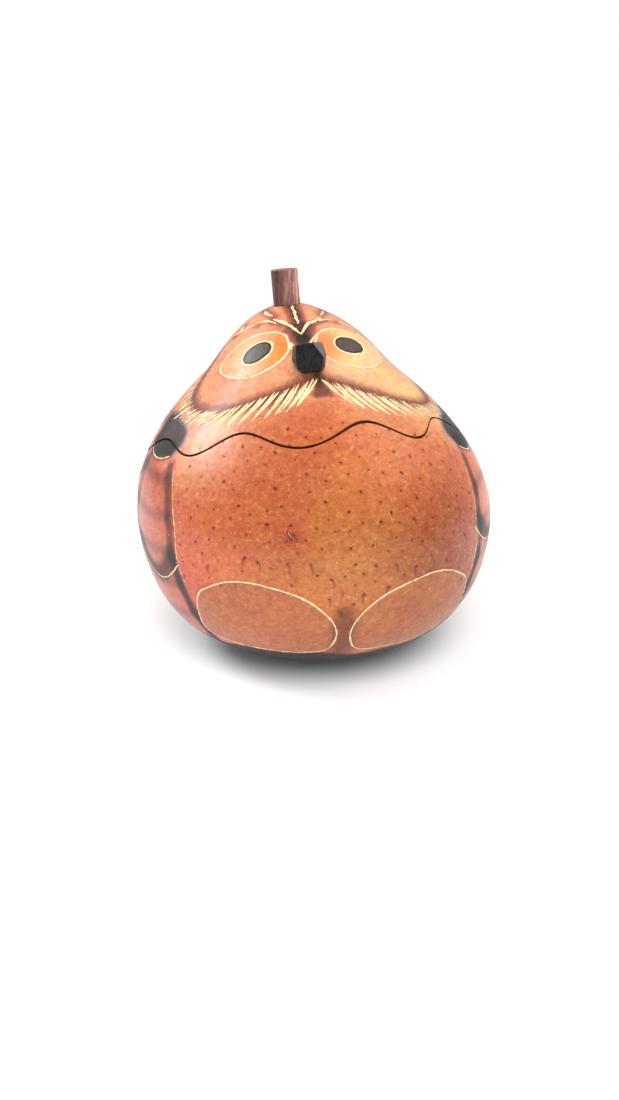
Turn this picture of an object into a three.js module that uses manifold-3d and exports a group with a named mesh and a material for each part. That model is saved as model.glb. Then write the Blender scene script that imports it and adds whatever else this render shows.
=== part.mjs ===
// A trinket box carved from one small pear-shaped gourd in the form of an owl.
// The gourd is sawn in two along a wavy line: the lower part is the box (the owl's body)
// and the upper part is a lift-off lid (the owl's head). A woody stem stands on the crown
// as the lid's handle, and a whittled black wooden peg is the beak.
// Millimetres, +Z up, the owl faces -Y, origin at the centre of the sanded flat underneath.
import * as THREE from "three";
import { ConvexGeometry } from "three/addons/geometries/ConvexGeometry.js";
import { mergeVertices } from "three/addons/utils/BufferGeometryUtils.js";
import Module from "manifold-3d";

// ---------------------------------------------------------------- driving dimensions

// Control polygon of the gourd's outline, [radius, height], from the blossom end to the crown.
// The first and last points lie on the axis, and the curve is mirrored there.
const OUTLINE = [
  [0, -2.4], [23.6, 0.4], [45.5, 8.7], [55.2, 26.4], [57.4, 47.6],
  [51.4, 63.2], [39.9, 77.9], [27.0, 88.0], [18.9, 99.8], [0, 108.4],
];
const WALL = 3.8; // thickness of the dried shell
const BEND_LENGTH = 100; // height over which the axis moves by the two offsets below
const BEND_LINEAR = [3.1, 1.2]; // x and y offset that grows with the height
const BEND_SQUARE = [-8.1, 3.2]; // x and y offset that grows with its square

const SEAM_HEIGHT = 65.8; // mean height of the saw cut
const SEAM_TILT = 9.3; // how far the cut rises above its mean on its high side
const SEAM_TILT_AZIMUTH = 13.4; // degrees from the owl's front to the high side
const WAVES = 8;
const WAVE_HEIGHT = 2.3; // half of crest to trough
const WAVE_AZIMUTH = 15.1; // degrees from the owl's front to a crest
const WAVE_DRIFT = 2.6; // degrees by which a hand-cut crest strays
const WAVE_DRIFT_CYCLES = 4;
const WAVE_DRIFT_AZIMUTH = -25;
const KERF = 0.4; // saw width left between box and lid

const STEM_DIAMETER = 8.5;
const STEM_TOP = 116; // height of its cut end above the table
const STEM_LEAN = 4.5; // degrees, to the owl's right
const STEM_AXIS = [-8.0, 5.2]; // x and y where its axis passes the crown
const STEM_REACH = 1.2; // how far the stem stands proud inside the lid

const BEAK_HEIGHT = 93.3; // height of its axis on the shell
const BEAK_RISE = 42; // degrees that its tenon, square to the shell, points above the horizontal
const BEAK_FACE_RISE = 15; // degrees that its front facet looks above the horizontal
const BEAK_LENGTH = 6.5; // from the shell to the front facet
// Corners [across, up] of the front facet, and of the rear that lies along the shell.
const BEAK_FRONT = [
  [-4.4, 2.6], [0.4, 3.3], [3.3, -0.7], [2.7, -4.2], [-2.2, -4.8], [-4.1, -4.0], [-4.6, -1.6],
];
const BEAK_REAR = [
  [-4.6, 3.4], [-5.0, -1.2], [-3.8, -4.9], [-2.0, -6.2], [3.2, -5.3],
  [4.4, -3.9], [5.0, 0.4], [4.3, 4.4], [1.8, 4.7],
];
const BEAK_TENON_DIAMETER = 5;
const BEAK_TENON_LENGTH = 5.5;
const FIT_GAP = 0.3; // clearance round a glued peg

const COLUMNS = 80; // facets round the gourd, ten to each wave
const OUTER_ROWS = 13;
const INNER_ROWS = 9;

// ---------------------------------------------------------------- the gourd's surface

const radians = THREE.MathUtils.degToRad;
const LAST = OUTLINE.length - 1;

// A control point, mirrored across the axis before the first and after the last.
function controlPoint(index) {
  if (index < 0) return [-OUTLINE[-index][0], OUTLINE[-index][1]];
  if (index > LAST) return [-OUTLINE[2 * LAST - index][0], OUTLINE[2 * LAST - index][1]];
  return OUTLINE[index];
}

// Point [radius, height] of the uniform cubic B-spline, t from 0 to LAST.
function outlinePoint(t) {
  const span = Math.min(Math.floor(t), LAST - 1);
  const u = t - span;
  const weights = [
    (1 - u) ** 3 / 6,
    (3 * u ** 3 - 6 * u ** 2 + 4) / 6,
    (-3 * u ** 3 + 3 * u ** 2 + 3 * u + 1) / 6,
    u ** 3 / 6,
  ];
  const point = [0, 0];
  weights.forEach((weight, k) => {
    const control = controlPoint(span - 1 + k);
    point[0] += weight * control[0];
    point[1] += weight * control[1];
  });
  return point;
}

// The same point moved inwards at a right angle to the outline.
function insetPoint(t, depth) {
  const step = 1e-3;
  const before = outlinePoint(Math.max(t - step, 0));
  const after = outlinePoint(Math.min(t + step, LAST));
  const along = [after[0] - before[0], after[1] - before[1]];
  const length = Math.hypot(along[0], along[1]);
  const [radius, height] = outlinePoint(t);
  return [radius - (depth * along[1]) / length, height + (depth * along[0]) / length];
}

// The outline parameter at which the surface of this depth reaches a height.
function parameterAtHeight(height, depth) {
  let low = 0;
  let high = LAST;
  for (let pass = 0; pass < 40; pass++) {
    const middle = (low + high) / 2;
    if (insetPoint(middle, depth)[1] < height) low = middle;
    else high = middle;
  }
  return (low + high) / 2;
}

// Where the bent axis passes a height.
function axisOffset(height) {
  const share = Math.max(height, 0) / BEND_LENGTH;
  return [0, 1].map((k) => BEND_LINEAR[k] * share + BEND_SQUARE[k] * share ** 2);
}

// Degrees from the owl's front, positive towards +X, as a point on the bent surface.
function surfacePoint([radius, height], azimuth) {
  const [x, y] = axisOffset(height);
  const angle = radians(azimuth);
  return [x + radius * Math.sin(angle), y - radius * Math.cos(angle), height];
}

function cosineOfDegrees(angle) {
  return Math.cos(radians(angle));
}

// Height of the saw cut at an azimuth.
function seamHeight(azimuth) {
  const drift = -WAVE_DRIFT * cosineOfDegrees(WAVE_DRIFT_CYCLES * (azimuth - WAVE_DRIFT_AZIMUTH));
  const tilt = SEAM_TILT * cosineOfDegrees(azimuth - SEAM_TILT_AZIMUTH);
  const wave = WAVE_HEIGHT * cosineOfDegrees(WAVES * (azimuth - WAVE_AZIMUTH - drift));
  return SEAM_HEIGHT + tilt + wave;
}

// ---------------------------------------------------------------- the two shells

// One closed surface through rings of equal size, capped by a fan at each end.
function loftBetweenPoints(start, rings, end) {
  const columns = rings[0].length;
  const points = [start, ...rings.flat(), end];
  const faces = [];
  const at = (ring, column) => 1 + ring * columns + (column % columns);
  for (let column = 0; column < columns; column++) {
    faces.push(0, at(0, column + 1), at(0, column));
    for (let ring = 0; ring + 1 < rings.length; ring++) {
      const [a, b] = [at(ring, column), at(ring, column + 1)];
      const [c, d] = [at(ring + 1, column), at(ring + 1, column + 1)];
      faces.push(a, b, d, a, d, c);
    }
    faces.push(points.length - 1, at(rings.length - 1, column), at(rings.length - 1, column + 1));
  }
  const geometry = new THREE.BufferGeometry();
  geometry.setAttribute("position", new THREE.Float32BufferAttribute(points.flat(), 3));
  geometry.setIndex(faces);
  return geometry;
}

// Rings from one outline parameter to the saw cut, which is `lift` above its nominal line.
function ringsToSeam(start, rows, depth, lift) {
  return Array.from({ length: rows + 1 }, (_, row) =>
    Array.from({ length: COLUMNS }, (_, column) => {
      const azimuth = (360 * column) / COLUMNS;
      const seam = parameterAtHeight(seamHeight(azimuth) + lift, depth);
      const t = start + ((seam - start) * row) / rows;
      return surfacePoint(insetPoint(t, depth), azimuth);
    }),
  );
}

// The lower part: a sanded flat underneath, the wall, the wavy rim and the hollow.
function boxGeometry() {
  const flatEdge = parameterAtHeight(0, 0);
  const outside = ringsToSeam(flatEdge, OUTER_ROWS, 0, 0);
  const inside = ringsToSeam(0, INNER_ROWS, WALL, 0).slice(1).reverse();
  const insidePole = surfacePoint(insetPoint(0, WALL), 0);
  return loftBetweenPoints([0, 0, 0], [...outside, ...inside], insidePole);
}

// The upper part: the inside first, then the rim, then the outside up to the crown.
function lidGeometry() {
  const inside = ringsToSeam(LAST, INNER_ROWS, WALL, KERF).slice(1);
  const outside = ringsToSeam(LAST, OUTER_ROWS, 0, KERF).slice(1).reverse();
  const insidePole = surfacePoint(insetPoint(LAST, WALL), 0);
  const crown = surfacePoint(outlinePoint(LAST), 0);
  return loftBetweenPoints(insidePole, [...inside, ...outside], crown);
}

// ---------------------------------------------------------------- booleans

const wasm = await Module();
wasm.setup();

function solidOf(geometry) {
  const bare = geometry.clone();
  bare.deleteAttribute("normal");
  bare.deleteAttribute("uv");
  const merged = mergeVertices(bare, 1e-4);
  const vertProperties = Float32Array.from(merged.attributes.position.array);
  const triVerts = Uint32Array.from(merged.index.array);
  return new wasm.Manifold(new wasm.Mesh({ numProp: 3, vertProperties, triVerts }));
}

function geometryOf(solid) {
  const mesh = solid.getMesh();
  const geometry = new THREE.BufferGeometry();
  geometry.setAttribute("position", new THREE.Float32BufferAttribute(mesh.vertProperties, 3));
  geometry.setIndex(Array.from(mesh.triVerts));
  geometry.computeVertexNormals();
  return geometry;
}

// A cylinder along an axis from `from` to `to`, distances measured from `point`.
function cylinderAlong(point, axis, from, to, diameter, sides) {
  const geometry = new THREE.CylinderGeometry(diameter / 2, diameter / 2, to - from, sides);
  geometry.translate(0, (from + to) / 2, 0);
  const turn = new THREE.Quaternion().setFromUnitVectors(new THREE.Vector3(0, 1, 0), axis);
  geometry.applyQuaternion(turn);
  geometry.translate(point.x, point.y, point.z);
  return geometry;
}

// ---------------------------------------------------------------- stem

const crownHeight = outlinePoint(LAST)[1];
const stemFoot = new THREE.Vector3(STEM_AXIS[0], STEM_AXIS[1], crownHeight);
const stemAxis = new THREE.Vector3(-Math.sin(radians(STEM_LEAN)), 0, Math.cos(radians(STEM_LEAN)));
const stemRise = (STEM_TOP - crownHeight) / stemAxis.z;
const stemDepth = WALL + STEM_REACH;
const STEM_SIDES = 24;

function stemGeometry() {
  return cylinderAlong(stemFoot, stemAxis, -stemDepth, stemRise, STEM_DIAMETER, STEM_SIDES);
}

function stemHole() {
  const diameter = STEM_DIAMETER + 2 * FIT_GAP;
  return cylinderAlong(stemFoot, stemAxis, -3 * WALL, stemRise, diameter, STEM_SIDES);
}

// ---------------------------------------------------------------- beak

const beakParameter = parameterAtHeight(BEAK_HEIGHT, 0);
const beakFoot = new THREE.Vector3(...surfacePoint(outlinePoint(beakParameter), 0));
const BEAK_SIDES = 20;

// Unit vectors away from the shell and upwards, for a plane that looks this far above the horizontal.
function beakDirections(rise) {
  const angle = radians(rise);
  return {
    out: new THREE.Vector3(0, -Math.cos(angle), Math.sin(angle)),
    up: new THREE.Vector3(0, Math.sin(angle), Math.cos(angle)),
  };
}

const beakAxis = beakDirections(BEAK_RISE).out;

// The corners of one face of the beak: across to the owl's left, up, and a distance out.
function beakCorners(corners, rise, distance) {
  const { out, up } = beakDirections(rise);
  const centre = beakFoot.clone().addScaledVector(out, distance);
  return corners.map(([across, upwards]) =>
    centre.clone().add(new THREE.Vector3(across, 0, 0)).addScaledVector(up, upwards),
  );
}

// The whittled head: a wedge between its rear along the shell and its front facet, with a
// knife cut bevelling every side; the cut at the top on the owl's left is the widest.
function beakHead() {
  return new ConvexGeometry([
    ...beakCorners(BEAK_FRONT, BEAK_FACE_RISE, BEAK_LENGTH),
    ...beakCorners(BEAK_REAR, BEAK_RISE, 2 * FIT_GAP),
  ]);
}

function beakGeometry() {
  const tenon = cylinderAlong(
    beakFoot, beakAxis, -BEAK_TENON_LENGTH, 1, BEAK_TENON_DIAMETER, BEAK_SIDES,
  );
  return geometryOf(solidOf(beakHead()).add(solidOf(tenon)));
}

function beakHole() {
  const diameter = BEAK_TENON_DIAMETER + 2 * FIT_GAP;
  return cylinderAlong(beakFoot, beakAxis, -3 * WALL, WALL, diameter, BEAK_SIDES);
}

// ---------------------------------------------------------------- assembly

function drilledLidGeometry() {
  const lid = solidOf(lidGeometry());
  return geometryOf(lid.subtract(solidOf(stemHole())).subtract(solidOf(beakHole())));
}

function namedMesh(name, geometry, color, roughness) {
  const material = new THREE.MeshStandardMaterial({ color, roughness, metalness: 0 });
  const mesh = new THREE.Mesh(geometry, material);
  mesh.name = name;
  return mesh;
}

const lid = new THREE.Group();
lid.add(namedMesh("gourd_lid", drilledLidGeometry(), 0xc27a4e, 0.35));
lid.add(namedMesh("stem", stemGeometry(), 0x74413b, 0.5));
lid.add(namedMesh("beak", beakGeometry(), 0x1c1b1d, 0.4));

const owlBox = new THREE.Group();
owlBox.add(namedMesh("gourd_base", boxGeometry(), 0xb96a3f, 0.35));
owlBox.add(lid);

export default owlBox;
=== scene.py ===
"""Looks of an owl trinket box carved from a small gourd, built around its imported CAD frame.

The gourd's two shells are rebuilt here as fine meshes on the CAD outline. Every cut, dot and
burnt patch of the carver is a stroke placed by azimuth (degrees from the owl's front, positive
towards +X) and height in millimetres. The strokes become fields on the vertices. The fields sink
the surface where it is cut, and one procedural material turns them into colour.
"""
import math
import random

import bmesh
import bpy
import numpy as np
from mathutils import Matrix, Vector, noise


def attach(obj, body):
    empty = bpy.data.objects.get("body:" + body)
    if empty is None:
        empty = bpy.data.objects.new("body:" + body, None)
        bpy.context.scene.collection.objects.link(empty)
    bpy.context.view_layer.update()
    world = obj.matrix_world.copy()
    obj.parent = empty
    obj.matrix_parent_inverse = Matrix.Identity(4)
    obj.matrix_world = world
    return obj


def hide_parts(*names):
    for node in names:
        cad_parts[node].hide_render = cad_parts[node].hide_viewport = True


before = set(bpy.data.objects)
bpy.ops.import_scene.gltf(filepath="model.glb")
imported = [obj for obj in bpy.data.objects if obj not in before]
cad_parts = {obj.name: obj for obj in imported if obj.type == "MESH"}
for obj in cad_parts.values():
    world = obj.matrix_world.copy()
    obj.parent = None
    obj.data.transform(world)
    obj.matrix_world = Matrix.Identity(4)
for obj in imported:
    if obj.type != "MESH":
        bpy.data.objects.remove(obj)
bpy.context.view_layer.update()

MM = 0.001

# ---------------------------------------------------------------- dimensions, as in the CAD

OUTLINE = np.array([
    (0, -2.4), (23.6, 0.4), (45.5, 8.7), (55.2, 26.4), (57.4, 47.6),
    (51.4, 63.2), (39.9, 77.9), (27.0, 88.0), (18.9, 99.8), (0, 108.4),
])
WALL = 3.8
BEND_X = (3.1, -8.1)  # offset of the axis per 100 mm of height, and per its square
BEND_Y = (1.2, 3.2)
SEAM_HEIGHT = 65.8
SEAM_TILT = 9.3
SEAM_TILT_AZIMUTH = 13.4
WAVES = 8
WAVE_HEIGHT = 2.3
WAVE_AZIMUTH = 15.1
WAVE_DRIFT = 2.6
WAVE_DRIFT_CYCLES = 4
WAVE_DRIFT_AZIMUTH = -25
KERF = 0.4

STEM_RADIUS = 4.25
STEM_TOP = 116
STEM_LEAN = math.radians(4.5)
STEM_AXIS = (-8.0, 5.2)
STEM_REACH = 1.2

BEAK_HEIGHT = 93.3
BEAK_RISE = math.radians(42)
BEAK_FACE_RISE = math.radians(15)
BEAK_LENGTH = 6.5
BEAK_BACK = 0.6
BEAK_FRONT = [
    (-4.4, 2.6), (0.4, 3.3), (3.3, -0.7), (2.7, -4.2), (-2.2, -4.8), (-4.1, -4.0), (-4.6, -1.6),
]
BEAK_REAR = [
    (-4.6, 3.4), (-5.0, -1.2), (-3.8, -4.9), (-2.0, -6.2), (3.2, -5.3),
    (4.4, -3.9), (5.0, 0.4), (4.3, 4.4), (1.8, 4.7),
]
BEAK_TENON_RADIUS = 2.5
BEAK_TENON_LENGTH = 5.5

# ---------------------------------------------------------------- how fine the meshes are

COLUMNS = 512  # round the widest part
FRONT_DENSITY = 0.3  # how much closer the columns stand at the front than on average
HALVE_BELOW = (27, 13, 6)  # radii under which a ring has half as many columns
BOX_ROWS = 148
LID_ROWS = 160
STEM_COLUMNS = 96
STEM_ROWS = 70
BEAK_VOXEL = 0.13  # mm
INNER_COLUMNS = 128
INNER_ROWS = 44
EDGE_ROUND = 0.12  # radius worn on the edges of the saw cut
RIM_STEPS = 6
STAIN_DEPTH = 2.2  # how far the dye has crept into the saw cut from the outside


# ---------------------------------------------------------------- the gourd's surface

def outline_table(steps=80):
    """Points (radius, height) along the uniform cubic B-spline, and its unit tangents."""
    flip = np.array((-1, 1))
    control = np.vstack([OUTLINE[1] * flip, OUTLINE, OUTLINE[-2] * flip])
    spans = []
    for span in range(len(OUTLINE) - 1):
        u = np.linspace(0, 1, steps, endpoint=False)[:, None]
        if span == len(OUTLINE) - 2:
            u = np.linspace(0, 1, steps + 1)[:, None]
        weights = (
            (1 - u) ** 3 / 6,
            (3 * u ** 3 - 6 * u ** 2 + 4) / 6,
            (-3 * u ** 3 + 3 * u ** 2 + 3 * u + 1) / 6,
            u ** 3 / 6,
        )
        spans.append(sum(w * control[span + k] for k, w in enumerate(weights)))
    points = np.vstack(spans)
    tangents = np.gradient(points, axis=0)
    tangents /= np.linalg.norm(tangents, axis=1)[:, None]
    return points, tangents


SECTION, TANGENT = outline_table()
ARC = np.concatenate([[0], np.cumsum(np.linalg.norm(np.diff(SECTION, axis=0), axis=1))])


def inset_section(depth):
    """The outline moved inwards by a depth."""
    return SECTION + depth * np.stack([-TANGENT[:, 1], TANGENT[:, 0]], 1)


def arc_at_height(height, depth=0):
    """Arc length on the outside at which the surface of this depth reaches a height."""
    return np.interp(height, inset_section(depth)[:, 1], ARC)


def bent(radius, azimuth, height):
    """Points from radius, azimuth in degrees and height, on the gourd's bent axis."""
    q = np.maximum(height, 0) / 100
    angle = np.radians(azimuth)
    x = BEND_X[0] * q + BEND_X[1] * q ** 2 + radius * np.sin(angle)
    y = BEND_Y[0] * q + BEND_Y[1] * q ** 2 - radius * np.cos(angle)
    return np.stack(np.broadcast_arrays(x, y, height), -1)


def unbent(points):
    """Azimuth in degrees and height of points."""
    height = points[:, 2]
    q = np.maximum(height, 0) / 100
    x = points[:, 0] - BEND_X[0] * q - BEND_X[1] * q ** 2
    y = points[:, 1] - BEND_Y[0] * q - BEND_Y[1] * q ** 2
    return np.degrees(np.arctan2(x, -y)), height


def surface(azimuth, height):
    """Points on the outside at an azimuth and height."""
    azimuth = np.asarray(azimuth, float)
    height = np.asarray(height, float)
    return bent(np.interp(height, SECTION[:, 1], SECTION[:, 0]), azimuth, height)


def seam_height(azimuth):
    def cosine(angle):
        return np.cos(np.radians(angle))
    drift = -WAVE_DRIFT * cosine(WAVE_DRIFT_CYCLES * (azimuth - WAVE_DRIFT_AZIMUTH))
    tilt = SEAM_TILT * cosine(azimuth - SEAM_TILT_AZIMUTH)
    return SEAM_HEIGHT + tilt + WAVE_HEIGHT * cosine(WAVES * (azimuth - WAVE_AZIMUTH - drift))


def ring_azimuths(columns):
    share = np.arange(columns) / columns
    return 360 * share - FRONT_DENSITY * np.degrees(np.sin(2 * np.pi * share))


def columns_at(radius):
    """How many columns a ring of this radius has."""
    return COLUMNS >> sum(radius < limit for limit in HALVE_BELOW)


def ring(arc, depth, azimuth):
    """Points at arc lengths along the outline, inset by a depth."""
    section = inset_section(depth)
    radius = np.interp(arc, ARC, section[:, 0])
    return bent(radius, azimuth, np.interp(arc, ARC, section[:, 1]))


def rows_to_seam(start, rows, depth, lift, most_columns=COLUMNS):
    """Rings from an arc length towards the saw cut, the ring at the cut's edge left out."""
    rings = []
    for row in range(rows):
        middle = start + (arc_at_height(SEAM_HEIGHT, depth) - start) * row / rows
        radius = np.interp(middle, ARC, SECTION[:, 0])
        azimuth = ring_azimuths(min(columns_at(radius), most_columns))
        edge = lift + math.copysign(EDGE_ROUND, lift - KERF / 2)
        end = arc_at_height(seam_height(azimuth) + edge, depth)
        rings.append(ring(start + (end - start) * row / rows, depth, azimuth))
    return rings


def rim_rings(lift, side):
    """Rings over the saw cut from the outside in, with worn edges: side 1 is the lid's, -1 the box's."""
    azimuth = ring_azimuths(COLUMNS)
    sections = [(0, EDGE_ROUND)]
    sections += [(EDGE_ROUND * (1 - math.sin(a)), EDGE_ROUND * (1 - math.cos(a)))
                 for a in np.radians((60, 30))]
    for depth in np.linspace(EDGE_ROUND, WALL - EDGE_ROUND, RIM_STEPS):
        sections.append((depth, 0))
    sections += [(WALL - EDGE_ROUND * 0.3, EDGE_ROUND * 0.3), (WALL, EDGE_ROUND)]
    rings = []
    for depth, back in sections:
        if depth == WALL:
            azimuth = ring_azimuths(COLUMNS // 2)
        arc = arc_at_height(seam_height(azimuth) + lift + side * back, depth)
        rings.append((ring(arc, depth, azimuth), float(smoothstep(0, STAIN_DEPTH, depth))))
    return rings


def box_sections():
    """Rings of the lower shell, from under it, over the outside and the rim, to the inside."""
    flat_edge = arc_at_height(0)
    flat_radius = np.interp(flat_edge, ARC, SECTION[:, 0])
    under = []
    for share in (0.18, 0.36, 0.55, 0.74, 0.9):
        azimuth = ring_azimuths(columns_at(share * flat_radius))
        under.append(bent(share * flat_radius, azimuth, np.zeros(len(azimuth))))
    outside = rows_to_seam(flat_edge, BOX_ROWS, 0, 0)
    rim = rim_rings(0, -1)
    inside = rows_to_seam(0, INNER_ROWS, WALL, 0, INNER_COLUMNS)[1:][::-1]
    pole = ring(np.zeros(1), WALL, np.zeros(1))[0]
    rings = [(r, 0) for r in under + outside] + rim + [(r, 1) for r in inside]
    return np.zeros(3), rings, pole


def lid_sections():
    """Rings of the upper shell, from its inside, over the rim, to the crown."""
    inside = rows_to_seam(ARC[-1], INNER_ROWS, WALL, KERF, INNER_COLUMNS)[1:]
    outside = rows_to_seam(ARC[-1], LID_ROWS, 0, KERF)[1:][::-1]
    rim = rim_rings(KERF, 1)[::-1]
    inner_pole = ring(ARC[-1:], WALL, np.zeros(1))[0]
    crown = ring(ARC[-1:], 0, np.zeros(1))[0]
    return inner_pole, [(r, 1) for r in inside] + rim + [(r, 0) for r in outside], crown


# ---------------------------------------------------------------- mesh helpers

def bridge(low, high):
    """Faces between two rings of vertex numbers, where one may have half as many as the other."""
    n, m = len(low), len(high)
    faces = []
    for j in range(min(n, m)):
        if n == m:
            k = (j + 1) % n
            faces.append((low[j], low[k], high[k], high[j]))
        elif n > m:
            k = (j + 1) % m
            middle = low[2 * j + 1]
            end = low[(2 * j + 2) % n]
            faces += [(low[2 * j], middle, high[j]), (middle, high[k], high[j]),
                      (middle, end, high[k])]
        else:
            k = (j + 1) % n
            middle = high[2 * j + 1]
            end = high[(2 * j + 2) % m]
            faces += [(low[j], low[k], middle), (low[j], middle, high[2 * j]),
                      (low[k], end, middle)]
    return faces


def loft(name, start, rings, end):
    """One closed mesh through (ring, flesh) pairs. Its flesh attribute goes from 0, skin, to 1, wood."""
    flesh = np.concatenate(
        [[rings[0][1]]] + [np.full(len(r), kind) for r, kind in rings] + [[rings[-1][1]]]
    )
    points = np.vstack([start[None]] + [r for r, _ in rings] + [end[None]])
    numbers = []
    free = 1
    for r, _ in rings:
        numbers.append(list(range(free, free + len(r))))
        free += len(r)
    faces = [(0, b, a) for a, b in zip(numbers[0], numbers[0][1:] + numbers[0][:1])]
    for low, high in zip(numbers, numbers[1:]):
        if len(low) > 2 * len(high) or len(high) > 2 * len(low):
            raise ValueError("neighbouring rings differ by more than a factor of two")
        faces += bridge(low, high)
    faces += [(free, a, b) for a, b in zip(numbers[-1], numbers[-1][1:] + numbers[-1][:1])]
    mesh = bpy.data.meshes.new(name)
    mesh.from_pydata((points * MM).tolist(), [], faces)
    mesh.attributes.new("flesh", "FLOAT", "POINT").data.foreach_set("value", flesh)
    return mesh


def new_object(name, mesh):
    piece = bpy.data.objects.new(name, mesh)
    bpy.context.scene.collection.objects.link(piece)
    return piece


def coordinates(mesh):
    """Vertex places in millimetres."""
    flat = np.empty(len(mesh.vertices) * 3, np.float32)
    mesh.vertices.foreach_get("co", flat)
    return flat.reshape(-1, 3).astype(float) / MM


def vertex_normals(mesh):
    flat = np.empty(len(mesh.vertices) * 3, np.float32)
    mesh.vertex_normals.foreach_get("vector", flat)
    return flat.reshape(-1, 3).astype(float)


def set_coordinates(mesh, points):
    mesh.vertices.foreach_set("co", (points * MM).astype(np.float32).ravel())
    mesh.update()


def shade_smooth(mesh):
    mesh.polygons.foreach_set("use_smooth", np.ones(len(mesh.polygons), bool))
    mesh.update()


def apply_modifiers(piece):
    """Gives the piece the mesh that its modifiers make."""
    graph = bpy.context.evaluated_depsgraph_get()
    mesh = bpy.data.meshes.new_from_object(piece.evaluated_get(graph))
    piece.modifiers.clear()
    piece.data = mesh


def noise_at(points, scale, octaves=3, offset=0.0):
    """Fractal noise from about -1 to 1 at points in millimetres, with features of `scale` mm."""
    shift = Vector((offset, offset * 1.7, -offset))
    return np.array([
        noise.fractal(Vector(p) / scale + shift, 1.0, 2.0, octaves) for p in points.tolist()
    ])


def smoothstep(low, high, value):
    t = np.clip((value - low) / (high - low), 0, 1)
    return t * t * (3 - 2 * t)


def curve_through(points, per_span=8, closed=False):
    """Catmull-Rom curve through points."""
    points = np.asarray(points, float)
    if closed:
        padded = np.vstack([points[-1:], points, points[:2]])
    else:
        ends = 2 * points[[0, -1]] - points[[1, -2]]
        padded = np.vstack([ends[:1], points, ends[1:]])
    u = np.linspace(0, 1, per_span, endpoint=False)[:, None]
    spans = []
    for a, b, c, d in zip(padded, padded[1:], padded[2:], padded[3:]):
        spans.append(0.5 * (2 * b + (c - a) * u + (2 * a - 5 * b + 4 * c - d) * u ** 2
                            + (3 * b - a - 3 * c + d) * u ** 3))
    last = points[:1] if closed else points[-1:]
    return np.vstack(spans + [last])


def route(places, per_span=6):
    """A curve on the surface through (azimuth, height) places."""
    return curve_through(surface(*np.array(places).T), per_span)


def linear(colour):
    """Linear colour values of a #rrggbb colour."""
    parts = np.array([int(colour[k:k + 2], 16) / 255 for k in (1, 3, 5)])
    return np.where(parts <= 0.04045, parts / 12.92, ((parts + 0.055) / 1.055) ** 2.4)


# ---------------------------------------------------------------- the carver's canvas

FAR = 3.0  # mm: how far the signed distance to a cut is followed
NEAR = 1.0  # mm: how far the offset from a thin line is followed
NO_LINE = 5.0  # the offset stored where no thin line is near


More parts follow.
